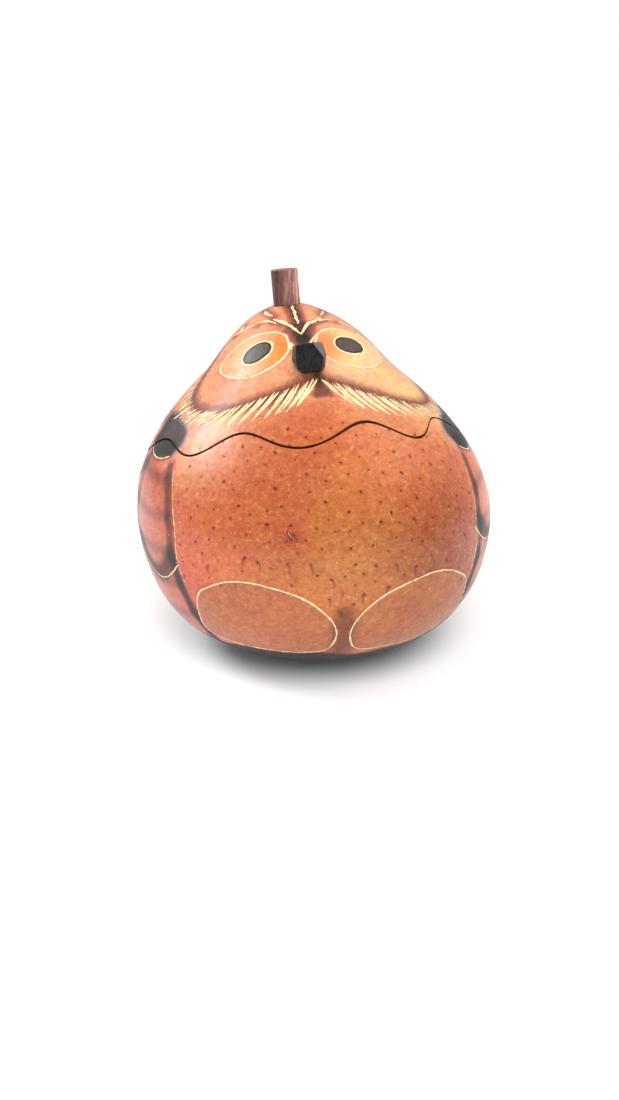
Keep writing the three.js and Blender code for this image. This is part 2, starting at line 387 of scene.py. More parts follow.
class Canvas:
    """The vertices of one shell, with the fields that strokes leave on them.

    cut is the signed distance in mm to the wide cream cuts, negative inside. pale and ink hold,
    for thin cream lines and for dark dots and scratches, the offset from the nearest line: across
    it, along it past its ends, and its half width. An offset stays exact between vertices,
    where a distance would not. burn is how charred the skin is, 0 to 1, and the colour field the
    skin's colour: dye, with painted sheen, painted light and painted reflection laid into it.
    """

    def __init__(self, points, normals):
        self.points = points
        self.normals = normals
        self.azimuth, self.height = unbent(points)
        self.cut = np.full(len(points), FAR)
        self.pale = np.tile((0, NO_LINE, 0), (len(points), 1)).astype(float)
        self.ink = self.pale.copy()
        self.burn = np.zeros(len(points))
        self.dye_and_light = dye_and_light_field(points)

    def within_reach(self, line, margin, coords):
        inside = (coords > line.min(0) - margin) & (coords < line.max(0) + margin)
        return np.flatnonzero(inside.all(1))

    def distances(self, line, widths, reach, coords=None):
        """Vertices within reach of a line of tapering half width, and their signed distances."""
        coords = self.points if coords is None else coords
        found = self.within_reach(line, reach + np.max(widths), coords)
        part = coords[found]
        best = np.full(len(found), float(reach))
        for a, b, wa, wb in zip(line, line[1:], widths, widths[1:]):
            along = b - a
            share = np.clip((part - a) @ along / max(along @ along, 1e-9), 0, 1)
            gap = np.linalg.norm(part - a - share[:, None] * along, axis=1)
            np.minimum(best, gap - wa - share * (wb - wa), out=best)
        return found, best

    def carve(self, line, widths):
        """A wide cream cut."""
        found, distance = self.distances(line, widths, FAR)
        self.cut[found] = np.minimum(self.cut[found], distance)

    def line_offsets(self, field, line, widths, coords=None):
        """Writes the offsets from a thin line into a field, where no other line is nearer."""
        flat = coords is not None
        coords = coords if flat else self.points
        found = self.within_reach(line, NEAR + np.max(widths), coords)
        part = coords[found]
        open_ends = np.linalg.norm(line[0] - line[-1]) > 1e-6
        old = field[found]
        best = np.hypot(old[:, 0], old[:, 1]) - old[:, 2]
        for k in range(len(line) - 1):
            a, along = line[k], line[k + 1] - line[k]
            length = max(np.linalg.norm(along), 1e-6)
            place = (part - a) @ along / length ** 2
            share = np.clip(place, 0, 1)
            offset = part - a - share[:, None] * along
            if flat:
                side = np.sign(along[0] * offset[:, 1] - along[1] * offset[:, 0])
            else:
                side = np.sign((np.cross(along, offset) * self.normals[found]).sum(1))
            beyond = np.zeros(len(part))
            if open_ends and k == 0:
                beyond = np.minimum(place, 0) * length
            if open_ends and k == len(line) - 2:
                beyond = beyond + np.maximum(place - 1, 0) * length
            gap = np.linalg.norm(offset, axis=1)
            half = widths[k] + share * (widths[k + 1] - widths[k])
            closer = (gap - half < best) & (gap < NEAR)
            best[closer] = (gap - half)[closer]
            across = side * np.sqrt(np.maximum(gap ** 2 - beyond ** 2, 0))
            old[closer] = np.stack([across, beyond, half], 1)[closer]
        field[found] = old

    def trace(self, line, widths, coords=None):
        """A thin cream line."""
        self.line_offsets(self.pale, line, widths, coords)

    def draw(self, line, widths):
        """A dark scratch or dot."""
        self.line_offsets(self.ink, line, widths)

    def scorch(self, line, half_width, softness, strength, coords=None):
        widths = np.full(len(line), float(half_width))
        found, distance = self.distances(line, widths, softness, coords)
        amount = strength * (1 - smoothstep(0, softness, distance))
        self.burn[found] = 1 - (1 - self.burn[found]) * (1 - amount)

    def scorch_where(self, amount):
        self.burn = 1 - (1 - self.burn) * (1 - np.clip(amount, 0, 1))

    def tint(self, amount, colour):
        self.dye_and_light += np.clip(amount, 0, 1)[:, None] * (linear(colour) - self.dye_and_light)

    def chart(self, azimuth, height):
        """Flat coordinates (right, up) in mm round a place, with the far side put out of reach."""
        centre = surface(azimuth, height)
        above = surface(azimuth, height + 0.2)
        angle = math.radians(azimuth)
        right = np.array((math.cos(angle), math.sin(angle), 0))
        up = (above - centre) / np.linalg.norm(above - centre)
        offset = self.points - centre
        flat = np.stack([offset @ right, offset @ up], 1)
        flat[offset @ np.cross(right, up) < -22] = 1e3
        return flat


def inside_outline(outline, coords):
    """Whether coordinates lie inside a closed outline."""
    u, v = coords.T
    crossings = np.zeros(len(u), int)
    for (ax, ay), (bx, by) in zip(outline, outline[1:]):
        spans = (ay > v) != (by > v)
        if ay != by:
            crossings += spans & (u < ax + (v - ay) * (bx - ax) / (by - ay))
    return crossings % 2 == 1


def tapered(points, width, head=0.35):
    """Half widths of a cut that swells to `width` at the share `head` and runs out at both ends."""
    share = np.linspace(0, 1, len(points))
    swell = np.where(share < head, share / head, (1 - share) / (1 - head))
    return 0.04 + width * np.sqrt(np.clip(swell, 0, 1))


def even(points, width, seed):
    """Half widths of a line of nearly even width, as a hand-held graver leaves it."""
    wobble = random.Random(seed)
    knots = [wobble.uniform(0.75, 1.2) for _ in range(max(3, len(points) // 3))]
    return width * np.interp(np.linspace(0, 1, len(points)), np.linspace(0, 1, len(knots)), knots)


# ---------------------------------------------------------------- dye

# Brushed-on dye, and some patches of painted light: azimuth, height, spread in mm and colour of each
# soft patch.
DYE_AND_LIGHT_PATCHES = [
    (0, 45, 15, "#ad6c30"), (-38, 52, 12, "#b2562e"), (-38, 30, 11, "#cf6d48"),
    (34, 46, 14, "#84381a"), (22, 72, 13, "#c96a36"), (-2, 27, 10, "#c57136"),
    # (-48, 74) is a painted sheen: a pale patch where the lacquer shines on the upper left of the belly.
    (-13, 50, 5, "#a84428"), (-20, 66, 12, "#a04119"), (-48, 74, 9, "#eab291"), (-30, 74, 9, "#ba6b44"),
    # (30, 89) and (60, 84) are painted light: the cheek on the +X side is lighter than the other, as if
    # lit from the upper right.
    (-50, 86, 10, "#cb6d49"), (-15, 90, 9, "#dc9c79"), (30, 89, 10, "#ffc68d"), (60, 84, 10, "#ffc485"),
    (0, 103, 9, "#ec8e6f"), (-90, 92, 14, "#d99e7a"), (90, 92, 14, "#d99e7a"),
    # (75, 50) is painted light and painted reflection: the wing on the +X side is lighter than its
    # mirror image at (-75, 50).
    (-75, 50, 16, "#b2533c"), (75, 50, 16, "#d87758"), (-70, 22, 12, "#a64e3a"), (70, 22, 12, "#a64e3a"),
    (130, 60, 22, "#b55a3c"), (-130, 60, 22, "#b55a3c"), (180, 85, 22, "#c06a45"),
    (180, 35, 24, "#b05236"),
    (2, 79, 7, "#b04e1e"), (25, 79, 7, "#b04e1e"), (-22, 78, 6, "#b65a30"), (-46, 36, 6, "#c24c3c"),
]


def dye_and_light_field(points):
    """Colour of the dyed skin, with painted sheen and painted light on the +X side: the patches run into
    each other.
    """
    total = np.full(len(points), 1e-6)
    colour = np.outer(total, linear("#c46a40"))
    for azimuth, height, spread, name in DYE_AND_LIGHT_PATCHES:
        gap = np.linalg.norm(points - surface(azimuth, height), axis=1)
        weight = np.exp(-0.5 * (gap / spread) ** 2)
        total += weight
        colour += weight[:, None] * linear(name)
    return colour / total[:, None]


# ---------------------------------------------------------------- motifs

NECK_AXIS = (-2.0, 2.0)  # x and y of the gourd's axis at the height of the face
NECK_SLOPE = 20  # mm: how far under a place of the neck its normal meets the axis


def cut_between(canvas, start, end, width, sag=0.0, head=0.35):
    """One slender cut from start to end, each (azimuth, height), bowed sideways by sag mm."""
    a, b = surface(*start), surface(*end)
    middle = surface((start[0] + end[0]) / 2, (start[1] + end[1]) / 2)
    inside = np.array((*NECK_AXIS, middle[2] - NECK_SLOPE))
    across = np.cross(b - a, middle - inside)
    middle = middle + sag * across / max(np.linalg.norm(across), 1e-9)
    line = curve_through([a, middle, b], 4)
    canvas.carve(line, tapered(line, width, head))
    return line


COLLAR_MIRROR = 7.0  # the sum of an azimuth and its mirror image
# The collar of feathers under the face: azimuth and height of its inner edge, and of its tips.
COLLAR = np.array([
    (3.3, 88.8, -8.5, 82.0), (-10, 87.1, -19.7, 79.6), (-21, 85.0, -30, 78.0), (-34, 82.4, -42, 76.0),
    (-49, 79.6, -57, 74.8), (-60, 78.9, -68, 74.4), (-70, 80.3, -79, 74.5), (-78, 82.8, -87, 77.6),
    (-85, 87.0, -95, 82.0), (-91, 93.5, -101, 90.5),
])


def collar(canvas):
    """Groups of two or three cuts with dark scratches between them, down each side of the face."""
    draw = random.Random(11)
    path = curve_through(COLLAR, 10)
    reach = -path[:, 0]

    def along(place):
        return [np.interp(place, reach, path[:, c]) for c in range(4)]

    for mirrored in (False, True):
        def turn(azimuth):
            return COLLAR_MIRROR - azimuth if mirrored else azimuth

        at = -1.6
        while at < reach[-1]:
            side = float(smoothstep(28, 50, at))
            cuts = 2 if at < 22 or at > 40 else 3
            gap, half_width = (2.3, 0.37) if cuts == 2 else (1.7, 0.28)
            for k in range(cuts):
                shift = (k - (cuts - 1) / 2) * gap * (1 - 0.3 * side)
                root = along(at + shift + draw.uniform(-0.2, 0.2))
                tip = along(at + shift * 0.3)
                middle_cut = 1 - abs(k - (cuts - 1) / 2)
                start = (turn(root[0]), root[1] - draw.uniform(0.1, 0.9))
                end = (turn(tip[2] - draw.uniform(0, 0.8)), tip[3] - 0.6 * middle_cut)
                width = draw.uniform(0.9, 1.1) * half_width * (1 - 0.45 * side)
                cut_between(canvas, start, end, width, draw.uniform(-0.1, 0.4))
            for shift, reached, thick in ((0.0, 0.85, 0.07), (2.8 - 0.8 * side, 0.6, 0.24)):
                azimuth, height, tip_azimuth, tip_height = along(at + shift)
                share = np.linspace(0.0, reached, 7)
                line = surface(turn(azimuth + share * (tip_azimuth - azimuth)),
                               height + share * (tip_height - height))
                canvas.draw(line, tapered(line, thick * (1 - 0.5 * side), 0.3))
            at += 5.6 - 2.2 * side + draw.uniform(-0.3, 0.3)
        edge = path[:, 1] + 0.2
        canvas.scorch(surface(turn(path[:, 0]), edge), 0.0, 3.2, 0.42)
        canvas.scorch(surface(turn(path[:, 0]), edge - 1.2), 0.2, 2.2, 0.3)
        cheek = path[path[:, 0] < -55]
        canvas.scorch(surface(turn(cheek[:, 0]), cheek[:, 1] + 0.3), 0.2, 3.0, 0.15)


# Brows: runs of slender cuts along a path of (azimuth, height). After each path come the number of
# cuts, how far they lean across it and their half width, in mm.
BROWS = [
    ([(-2.4, 99.3), (-11.1, 100.9), (-25.8, 102.0), (-40, 102.3)], 6, 0.8, 0.38),
    ([(-28, 101.4), (-45, 101.8), (-62.3, 100.8)], 6, 0.5, 0.27),
    ([(-56, 100.9), (-66, 99.9), (-76, 98.4), (-86, 96.4)], 6, 0.3, 0.2),
    ([(-2.4, 99.3), (8.5, 101.6), (15.9, 101.9), (36, 102.6)], 6, 0.8, 0.38),
    ([(24, 102.0), (42, 102.3), (56, 101.7)], 6, 0.5, 0.27),
    ([(52, 101.6), (64, 100.6), (75, 99.0), (86, 97.0)], 6, 0.3, 0.2),
]
BURNT_BROWS = 1.3  # how far under the cuts their burnt edge lies, mm


def brows(canvas):
    draw = random.Random(5)
    down = np.array((0, -0.62, -0.62))  # down the slope of the forehead
    for path, cuts, slant, width in BROWS:
        line = route(path, 12)
        for k in range(cuts):
            start = k / cuts * 0.62
            stretch = slice(int(start * len(line)), int((start + 0.46) * len(line)) + 1)
            piece = line[stretch] + down * draw.uniform(-0.3, 0.3)
            lean = np.linspace(slant, -slant / 2, len(piece))[:, None] * down
            canvas.carve(piece + lean, tapered(piece, width * draw.uniform(0.9, 1.1), 0.45))
        canvas.scorch(line + down * BURNT_BROWS, 0.0, 2.6, 0.45 * min(1, slant + 0.2))


def forehead(canvas):
    """The row of short cuts from the stem to the brows, and a pair of cuts over each brow."""
    draw = random.Random(3)
    path = route([(-20, 105.2), (-6.8, 103.9), (-4.6, 102.6), (-2.9, 101.4)], 10)
    for k in range(7):
        start = int(k / 7 * (len(path) - 6))
        piece = path[start:start + 9].copy()
        piece[:, 0] += np.linspace(-0.5, 0.35, len(piece)) * (1 if k % 2 else -0.6)
        canvas.carve(piece, tapered(piece, draw.uniform(0.28, 0.36), 0.5))
    canvas.scorch(path, 0.4, 4.2, 0.8)
    for ends in [((-87.6, 103.7), (-43.7, 102.7)), ((65.9, 103.9), (38.7, 103.2))]:
        for shift in (0, 1.6):
            start = (ends[0][0] + 6 * shift, ends[0][1])
            end = (ends[1][0] + 2 * shift, ends[1][1] + 0.12 * shift)
            line = cut_between(canvas, start, end, 0.26, 0.0, 0.5)
        canvas.scorch(line, 0.3, 3.2, 0.5)


# Burnt between the brows and down to the beak: paths of (azimuth, height) and half widths in mm.
FROWN = [
    ([(-13, 100.0), (-7, 98.9), (-2.6, 97.6)], 0.8), ([(9, 100.6), (3, 99.2), (-1.4, 97.6)], 0.8),
    ([(-2.4, 98.4), (-2.0, 96.6)], 1.8),
]


def frown(canvas):
    for path, half_width in FROWN:
        canvas.scorch(route(path), half_width, 2.8, 0.5)


# Eyes: centre (azimuth, height), outline, pupil's centre, radii and tilt, and side of the face. The
# outline and the pupil are in mm to the right and up on the surface.
EYES = [
    ((-39.4, 93.7),
     [(9.0, 1.8), (6.9, 6.3), (3.6, 8.1), (-1.5, 7.4), (-7.4, 4.6), (-12.7, 0.2), (-12.2, -3.6),
      (-8.5, -6.6), (-2.2, -8.2), (3.1, -6.9), (7.6, -2.6)],
     (-0.1, 0.4), (4.85, 3.6), 38, -1),
    ((37.3, 95.5),
     [(-10.5, 5.5), (-3.1, 7.8), (4.6, 5.5), (10.5, 3.4), (15.1, 0.6), (12.4, -5.2), (6.2, -7.9),
      (-0.2, -8.0), (-6.4, -4.9), (-9.6, -1.3), (-11.0, 2.6)],
     (0.5, 0.3), (5.4, 3.45), -16, 1),
]
# Short bold cuts where the eyes' outlines meet the beak.
EYE_CORNERS = [
    [(-16.5, 97.4), (-12.5, 96.6), (-9.0, 95.6)], [(-15.0, 96.4), (-12.5, 95.8), (-10.5, 95.0)],
    [(7.5, 96.9), (9.5, 97.7), (13.5, 98.9)], [(6.5, 96.4), (8.0, 97.0), (10.5, 97.8)],
]


def ellipse(centre, radii, tilt, steps=40):
    angle = np.linspace(0, 2 * math.pi, steps + 1)
    x, y = radii[0] * np.cos(angle), radii[1] * np.sin(angle)
    c, s = math.cos(math.radians(tilt)), math.sin(math.radians(tilt))
    return np.stack([centre[0] + c * x - s * y, centre[1] + s * x + c * y], 1)


def eyes(canvas):
    """Outlined eyes, golden next to the beak, with burnt pupils."""
    for (azimuth, height), outline, centre, radii, tilt, side in EYES:
        flat = canvas.chart(azimuth, height)
        outer = curve_through(outline, 6, closed=True)
        pupil = ellipse(centre, radii, tilt)
        within = inside_outline(outer, flat)
        canvas.scorch(outer, 0.0, 2.0, 0.22, flat)
        canvas.burn[within] *= 0.2
        # The eye on the +X side takes the paler tint: painted light from the right.
        canvas.tint(within * 0.85, "#e69a6e" if side < 0 else "#f5c896")
        inner = np.exp(-0.5 * ((flat - (-side * 8.0, 2.5)) / (5.5, 6.5)) ** 2).prod(1)
        canvas.tint(within * inner, "#dc843a")
        canvas.trace(outer, even(outer, 0.3, 21), flat)
        canvas.trace(pupil, even(pupil, 0.32, 22), flat)
        dark = inside_outline(ellipse(centre, (radii[0] - 0.2, radii[1] - 0.2), tilt), flat)
        core = inside_outline(ellipse(centre, (radii[0] - 0.9, radii[1] - 0.9), tilt), flat)
        canvas.burn[dark] = 0.9
        canvas.burn[core] = 0.66  # lighter in the middle than at its rim
        canvas.tint(dark, "#8a8680")
    for path in EYE_CORNERS:
        line = route(path)
        canvas.carve(line, tapered(line, 0.36, 0.5))


# Feet: closed outline, (azimuth, height), of the owl's right foot; the other one is its mirror image.
FOOT = [
    (-31.8, 36.7), (-39.5, 33.6), (-44.7, 29.9), (-47.7, 21.9), (-47.4, 15.9), (-39.3, 13.9),
    (-28, 13.3), (-17.3, 13.2), (-6.5, 13.9), (-2.2, 16.2), (-0.7, 21.9), (-3.7, 28.0),
    (-11.3, 33.9), (-23.2, 37.0),
]
FOOT_MIRROR = 3.0


def feet(canvas):
    """Two outlined feet on lighter skin, and the burnt hollow between them."""
    for mirrored in (False, True):
        outline = curve_through(FOOT, 6, closed=True)
        if mirrored:
            outline[:, 0] = FOOT_MIRROR - outline[:, 0]
        within = inside_outline(outline, np.stack([canvas.azimuth, canvas.height], 1))
        line = surface(*outline.T)
        canvas.scorch(line, 0, 2.2, 0.15)
        canvas.burn[within] *= 0.35
        canvas.tint(within * 0.85, "#a85f38")
        canvas.trace(line, even(line, 0.24, 31))
    between = surface(np.array((1.5, 1.5, 1.5)), np.array((14, 22, 28)))
    canvas.scorch(between, 0.3, 6.5, 0.55)


# Front edge of each wing, (azimuth, height), for the owl's right wing.
WING_EDGE = [
    (-57.4, 63.5), (-53.8, 55.8), (-51.5, 47.9), (-51.0, 37.7), (-48.1, 26.8), (-45.9, 16.0), (-44, 9),
]
EDGE_LINE_FROM = 31  # the height at which the pale line along the edge begins
WING_STRIPE = 2.3  # how far behind the edge the burnt stripe runs, mm
BELLY_RADIUS = 54
# Tips of the wing's long feathers: azimuth, height, half width in degrees, rise at their sides.
RIGHT_TIPS = [(-73, 64.0, 10, 1.9), (-65, 30.2, 13.5, 7.2)]
LEFT_TIPS = [(73, 64.0, 11, 2.6), (64, 38.6, 13.5, 7.0)]
BACK_TIPS = [(93, 52, 12, 6), (91, 24, 12, 6), (118, 62, 12, 5), (117, 36, 12, 6), (116, 14, 11, 4)]
BACK_STRIPES = (80, 105, 131)
BACK_BURN = 0.6
TAIL_TIPS = [(160, 44, 9, 5), (180, 38, 9, 5), (200, 44, 9, 5), (170, 20, 9, 5), (190, 20, 9, 5)]
MANTLE_ROWS = [(72, 4), (62, 3), (54, 4)]  # heights of the rows of small feathers, and how many


def feather_tip(canvas, azimuth, height, half_width, rise, burn=0.75):
    """A U-shaped cut with a burnt hollow above it."""
    share = np.linspace(-1, 1, 17)
    line = surface(azimuth + half_width * share, height + rise * share ** 2)
    canvas.trace(line, even(line, 0.2, round(azimuth * 7 + height)))
    inner = surface(azimuth + 0.8 * half_width * share, height + 2.0 + rise * share ** 2)
    canvas.scorch(inner, 0.5, 4.2, burn)
    canvas.scorch(line, 0.1, 1.4, 0.3)


def wings(canvas):
    """Both wings and the back: smudged bands, burnt stripes and rows of feather tips."""
    edge_azimuths, edge_heights = np.array(WING_EDGE).T
    for side in (-1, 1):
        edge = curve_through(surface(-side * edge_azimuths, edge_heights), 6)
        behind = canvas.azimuth * side
        border = np.interp(canvas.height, edge_heights[::-1], -edge_azimuths[::-1])
        on_wing = smoothstep(0, 2.5, behind - border) * (canvas.height < 67)
        smudge = 0.5 + 0.5 * np.sin(canvas.height * 0.62 + 2.2 * np.sin(canvas.azimuth * 0.07))
        canvas.scorch_where(on_wing * 0.42 * smudge ** 2)
        stripe_azimuths = -side * (edge_azimuths - np.degrees(WING_STRIPE / BELLY_RADIUS))
        stripe = curve_through(surface(stripe_azimuths, edge_heights), 6)
        canvas.scorch(stripe, 0.3, 3.0, 0.62)
        canvas.scorch(stripe[len(stripe) // 2:], 0.5, 2.6, 0.55)
        bare = edge[edge[:, 2] > EDGE_LINE_FROM]
        canvas.trace(bare, even(bare, 0.11, 41))
        for azimuth in BACK_STRIPES:
            line = surface(side * np.full(12, azimuth), np.linspace(10, 70, 12))
            canvas.scorch(line, 0.2, 4.0, 0.55)
    for tip in RIGHT_TIPS + LEFT_TIPS:
        feather_tip(canvas, *tip)
    for azimuth, height, half_width, rise in BACK_TIPS:
        feather_tip(canvas, azimuth, height, half_width, rise, BACK_BURN)
        feather_tip(canvas, -azimuth, height, half_width, rise, BACK_BURN)
    for tip in TAIL_TIPS:
        feather_tip(canvas, *tip, BACK_BURN)
    for height, count in MANTLE_ROWS:
        for k in range(count):
            feather_tip(canvas, 180 + 21 * (k - (count - 1) / 2), height, 9, 4.5, BACK_BURN)


SHOULDER_REFLECTION_GREY = "#7f8792"  # painted reflection: a blue-grey tint under the burnt shoulders, for the white room mirrored in their gloss


def shoulders(canvas):
    """A dark burnt patch between the collar and each wing, fading to the rear, under a blue-grey painted
    reflection.
    """
    for side in (-1, 1):
        patch = route([(side * 64, 70.5), (side * 70, 71.5), (side * 78, 72.5)], 5)
        canvas.scorch(patch, 3.2, 2.6, 0.74)
        behind = [(side * 80, 73.0), (side * 90, 73.0), (side * 102, 71.5), (side * 116, 68.0)]
        canvas.scorch(route(behind, 5), 1.0, 5.5, 0.5)
        low = surface(side * np.array((64, 73, 82)), np.array((67.5, 66.6, 67.2)))
        canvas.scorch(low, 1.6, 2.0, 0.72)
        # Round the patch the skin is tinted blue-grey: painted reflection of the white room in the
        # glossy burnt skin.
        gap = np.linalg.norm(canvas.points[:, None] - patch[None, ::3], axis=2).min(1)
        canvas.tint(0.8 * (1 - smoothstep(4.0, 7.0, gap)), SHOULDER_REFLECTION_GREY)


def underside(canvas):
    """Charred skin under the feet with a wavy edge, and the sanded flat that it stands on."""
    wobble = 0.8 * np.sin(np.radians(canvas.azimuth * 5)) + 0.5 * np.sin(np.radians(canvas.azimuth * 13))
    canvas.scorch_where(0.96 * (1 - smoothstep(11.5, 14.0, canvas.height + wobble)))
    sanded = 1 - smoothstep(13.5, 16, np.linalg.norm(canvas.points[:, :2], axis=1))
    low = canvas.height < 0.6
    canvas.burn *= 1 - 0.75 * sanded * low
    canvas.tint(sanded * low, "#b98a5e")


def nape(canvas):
    """Short paired cuts scattered in rows over the back of the head."""
    for row, height in enumerate((82, 88, 93.5, 98.5)):
        for k in range(7):
            azimuth = 180 + (k - 3 + 0.5 * (row % 2)) * (20 + row * 3)
            for shift in (-1.1, 1.1):
                start = (azimuth + shift * 1.2, height + 1.6)
                line = cut_between(canvas, start, (azimuth, height - 1.8), 0.26)
            canvas.scorch(line, 0.3, 2.2, 0.45)


def dots(canvas):
    """Small burnt dots all over the belly, some of the lower ones with a short tail."""
    draw = random.Random(17)
    placed = []
    tries = 0
    while len(placed) < 190 and tries < 9000:
        tries += 1
        azimuth = draw.uniform(-52, 55)
        height = draw.uniform(22, 80)
        foot_top = 38 - 0.02 * (abs(azimuth - 1.5) - 24) ** 2
        if abs(azimuth - 1.5) > 4 and height < foot_top:
            continue
        top = np.interp(abs(azimuth - 3.5), (0, 20, 60), (80, 76, 70))
        place = surface(azimuth, height)
        if height > top or any(np.linalg.norm(place - other) < 3.6 for other in placed):
            continue
        placed.append(place)
        size = draw.choice((0.21, 0.26, 0.32, 0.42))
        spot = surface(np.array((azimuth, azimuth + draw.uniform(-0.2, 0.2))),
                       np.array((height, height + 0.12)))
        canvas.draw(spot, np.array((size, size * 0.8)))
        if height < 46 and draw.random() < 0.5:
            fall = draw.uniform(1.6, 3.4)
            bow = draw.uniform(-1.2, 1.2)
            share = np.linspace(0, 1, 6)
            tail = surface(azimuth + bow * np.sin(share * 2.6), height - fall * share)
            canvas.draw(tail, np.linspace(0.15, 0.06, 6))


def chin(canvas):
    """The dark triangle under the middle of the collar, in five widening rows."""
    for k in range(5):
        height = 87.4 - 0.8 * k
        spread = 0.4 + 0.85 * k
        line = surface(np.array((3.2 - spread, 3.2 + spread)), np.array((height, height)))
        canvas.scorch(line, 0.2, 1.7, 0.5)


SCAR = (-13.0, 51.3)  # azimuth, height


def scar(canvas):
    """A healed knock in the middle of the belly: a reddened patch with a small pale nick."""
    place = surface(*SCAR)
    near = np.exp(-0.5 * (np.linalg.norm(canvas.points - place, axis=1) / 2.6) ** 2)
    canvas.tint(near * 0.7, "#9c2f22")
    for shift in (-0.9, 0.6):
        canvas.scorch(surface(SCAR[0] + shift + np.array((0, 1.0)), SCAR[1] + np.array((0.9, -1.3))),
                      0.1, 0.7, 0.55)
    nick = surface(SCAR[0] + np.array((-0.9, -0.5, 0.2)), SCAR[1] + np.array((1.2, 0.2, -0.5)))
    canvas.trace(nick, np.array((0.05, 0.14, 0.05)))


# ---------------------------------------------------------------- materials

class Graph:
    """A material's node tree, with short calls for the nodes that repeat."""

    def __init__(self, name):
        self.material = bpy.data.materials.new(name)
        self.material.use_nodes = True
        self.tree = self.material.node_tree
        self.shader = self.tree.nodes["Principled BSDF"]
        self.place = self.node("TexCoord").outputs["Object"]

    def node(self, kind, **settings):
        made = self.tree.nodes.new("ShaderNode" + kind)
        for key, value in settings.items():
            setattr(made, key, value)
        return made

    def put(self, socket, value):
        if isinstance(value, bpy.types.NodeSocket):
            self.tree.links.new(value, socket)
        elif isinstance(value, str):
            socket.default_value = (*linear(value), 1)
        else:
            socket.default_value = value

    def field(self, name):
        return self.node("Attribute", attribute_name=name).outputs["Fac"]

    def paint(self, name):
        return self.node("Attribute", attribute_name=name).outputs["Color"]

    def math(self, operation, a, b=0.0):
        made = self.node("Math", operation=operation)
        self.put(made.inputs[0], a)
        self.put(made.inputs[1], b)
        return made.outputs[0]

    def line_gap(self, name):
        """Distance in mm from the thin line whose offset is in a field, negative on it."""
        offset = self.node("Attribute", attribute_name=name).outputs["Vector"]
        parts = self.node("SeparateXYZ")
        self.put(parts.inputs[0], offset)
        across, along, half = parts.outputs
        squares = self.math("ADD", self.math("MULTIPLY", across, across),
                            self.math("MULTIPLY", along, along))
        return self.math("SUBTRACT", self.math("SQRT", squares), half)

    def mix(self, share, a, b, blend="MIX"):
        made = self.node("Mix", data_type="RGBA", blend_type=blend)
        for index, value in ((0, share), (6, a), (7, b)):
            self.put(made.inputs[index], value)
        return made.outputs[2]

    def times(self, colour, factors):
        return self.mix(1.0, colour, (*factors, 1), "MULTIPLY")

    def blend(self, share, a, b):
        made = self.node("Mix", data_type="FLOAT")
        for index, value in ((0, share), (2, a), (3, b)):
            self.put(made.inputs[index], value)
        return made.outputs[0]

    def ramp(self, value, low, high, out_low=0.0, out_high=1.0):
        made = self.node("MapRange", interpolation_type="SMOOTHSTEP")
        for index, item in enumerate((value, low, high, out_low, out_high)):
            self.put(made.inputs[index], item)
        return made.outputs[0]

    def scaled(self, scale):
        made = self.node("Mapping")
        self.put(made.inputs["Vector"], self.place)
        made.inputs["Scale"].default_value = scale
        return made.outputs[0]

    def noise(self, size, detail=3.0, stretch=(1, 1, 1), rough=0.5, distortion=0.0):
        """Noise from 0 to 1 with features of `size` mm, stretched along the axes."""
        made = self.node("TexNoise")
        self.put(made.inputs["Vector"], self.scaled([1000 / size / s for s in stretch]))
        made.inputs["Scale"].default_value = 1.0
        made.inputs["Detail"].default_value = detail
        made.inputs["Roughness"].default_value = rough
        made.inputs["Distortion"].default_value = distortion
        return made.outputs["Fac"]

    def bump(self, height, distance, strength=1.0, under=None):
        """A bump of `distance` mm where height goes from 0 to 1."""
        made = self.node("Bump")
        made.inputs["Strength"].default_value = strength
        made.inputs["Distance"].default_value = distance * MM
        self.put(made.inputs["Height"], height)
        if under is not None:
            self.put(made.inputs["Normal"], under)
        return made.outputs["Normal"]

    def finish(self, colour, roughness, normal=None, **constants):
        self.put(self.shader.inputs["Base Color"], colour)
        self.put(self.shader.inputs["Roughness"], roughness)
        if normal is not None:
            self.put(self.shader.inputs["Normal"], normal)
        for name, value in constants.items():
            self.shader.inputs[name.replace("_", " ")].default_value = value
        return self.material


